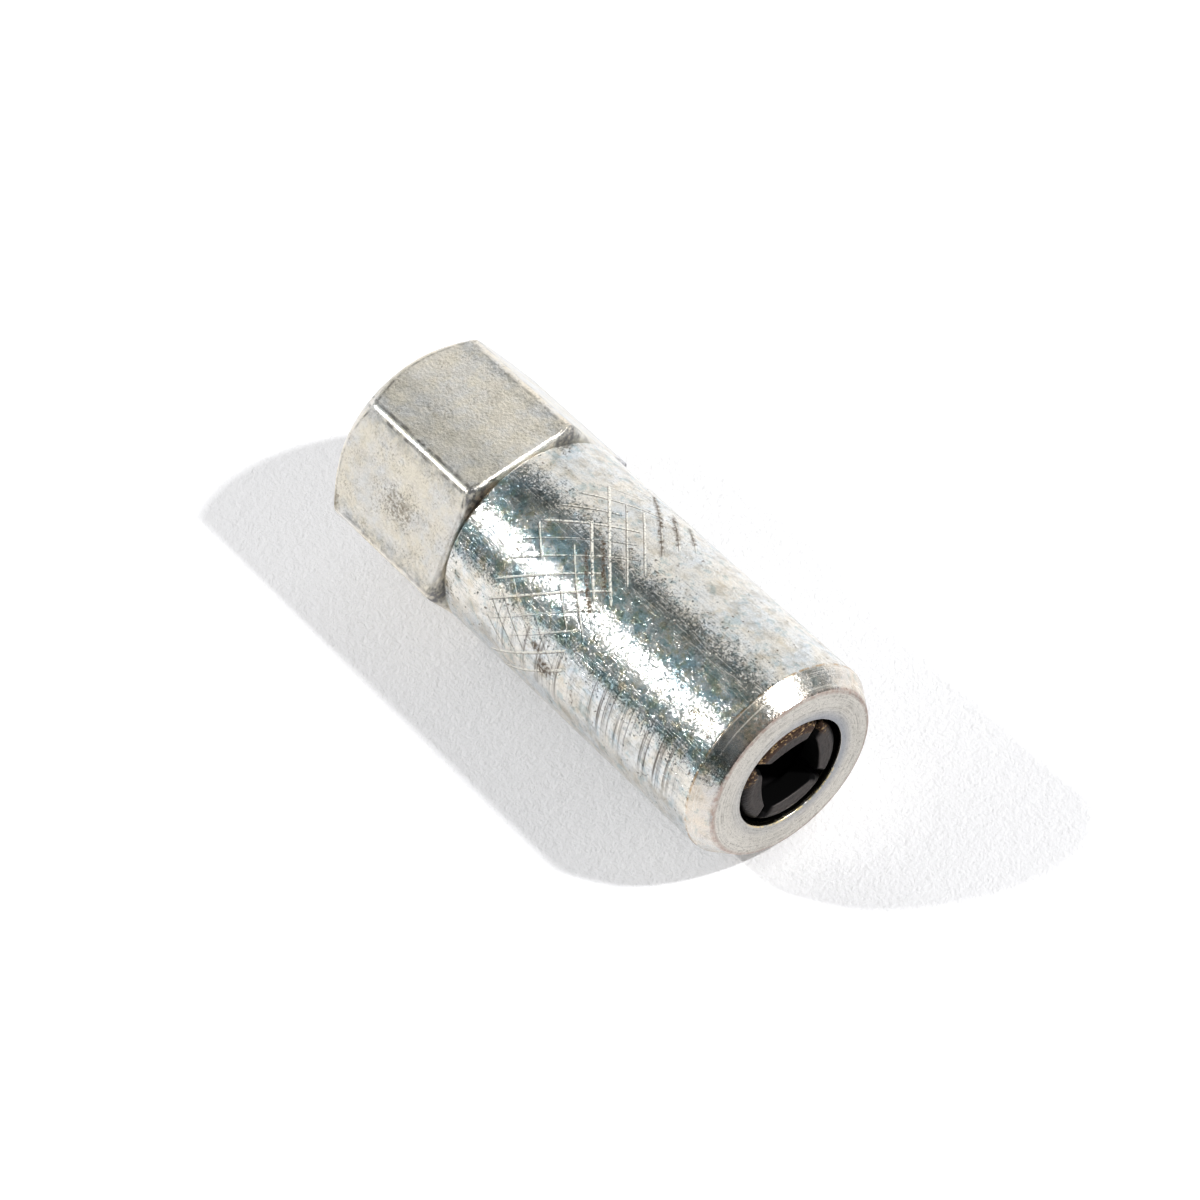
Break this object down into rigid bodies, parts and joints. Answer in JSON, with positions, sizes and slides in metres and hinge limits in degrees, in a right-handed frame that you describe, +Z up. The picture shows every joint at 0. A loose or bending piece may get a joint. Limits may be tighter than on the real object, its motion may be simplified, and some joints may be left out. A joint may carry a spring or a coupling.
{
  "type": "grease coupler",
  "caption": "Hydraulic grease coupler: knurled round sleeve with sprung gripping jaws in its nose, screwed to a hexagon body with a threaded inlet.",
  "frame": {"origin": "on the coupler's axis, at the rear face of the hexagon, where the inlet thread opens", "axes": "+X along the axis from the hexagon to the nose, +Z up out of one hexagon flat, the opposite flat down"},
  "size_m": [0.0387, 0.0172, 0.015],
  "materials": {
    "zinc_barrel": "turned and knurled steel, bright zinc plated",
    "zinc_hexagon": "drawn hexagon bar, zinc plated, satin",
    "black_jaw": "hardened steel, black oxide",
    "plunger_steel": "turned steel",
    "washer_steel": "hardened and ground steel",
    "spring_steel": "oil-tempered spring wire",
    "ball_steel": "polished bearing ball",
    "cap_brass": "turned brass",
    "seal_rubber": "moulded nitrile rubber",
    "backup_plastic": "turned hard plastic"
  },
  "bodies": {
    "housing": {"sleeve": "zinc_barrel", "adapter": "zinc_hexagon", "jaw_spring": "spring_steel"},
    "plunger": {"plunger": "plunger_steel", "thrust_washer": "washer_steel", "plunger_o_ring": "seal_rubber", "backup_ring": "backup_plastic", "spring_cap": "cap_brass", "nose_seal": "seal_rubber", "check_spring": "spring_steel"},
    "check_ball": {"check_ball": "ball_steel"},
    "jaw_top": {"jaw_top": "black_jaw"},
    "jaw_left": {"jaw_left": "black_jaw"},
    "jaw_bottom": {"jaw_bottom": "black_jaw"},
    "jaw_right": {"jaw_right": "black_jaw"}
  },
  "joints": [
    {"name": "plunger_slide", "type": "slide", "parent": "housing", "child": "plunger", "axis": [-1, 0, 0], "range_m": [0, 0.0034], "stiffness_N_per_m": 1360, "springref_m": -0.003, "deforming": ["jaw_spring"]},
    {"name": "jaw_top_slide", "type": "slide", "parent": "housing", "child": "jaw_top", "axis": [-0.9659, 0, 0.2588], "range_m": [0, 0.00352]},
    {"name": "jaw_left_slide", "type": "slide", "parent": "housing", "child": "jaw_left", "axis": [-0.9659, -0.2588, 0], "range_m": [0, 0.00352]},
    {"name": "jaw_bottom_slide", "type": "slide", "parent": "housing", "child": "jaw_bottom", "axis": [-0.9659, 0, -0.2588], "range_m": [0, 0.00352]},
    {"name": "jaw_right_slide", "type": "slide", "parent": "housing", "child": "jaw_right", "axis": [-0.9659, 0.2588, 0], "range_m": [0, 0.00352]},
    {"name": "check_ball_lift", "type": "slide", "parent": "plunger", "child": "check_ball", "axis": [1, 0, 0], "range_m": [0, 0.0008], "stiffness_N_per_m": 1880, "springref_m": -0.0005, "deforming": ["check_spring"]}
  ],
  "couplings": [
    {"joint": "jaw_top_slide", "follows": "plunger_slide", "ratio": 1.0353},
    {"joint": "jaw_left_slide", "follows": "plunger_slide", "ratio": 1.0353},
    {"joint": "jaw_bottom_slide", "follows": "plunger_slide", "ratio": 1.0353},
    {"joint": "jaw_right_slide", "follows": "plunger_slide", "ratio": 1.0353}
  ]
}
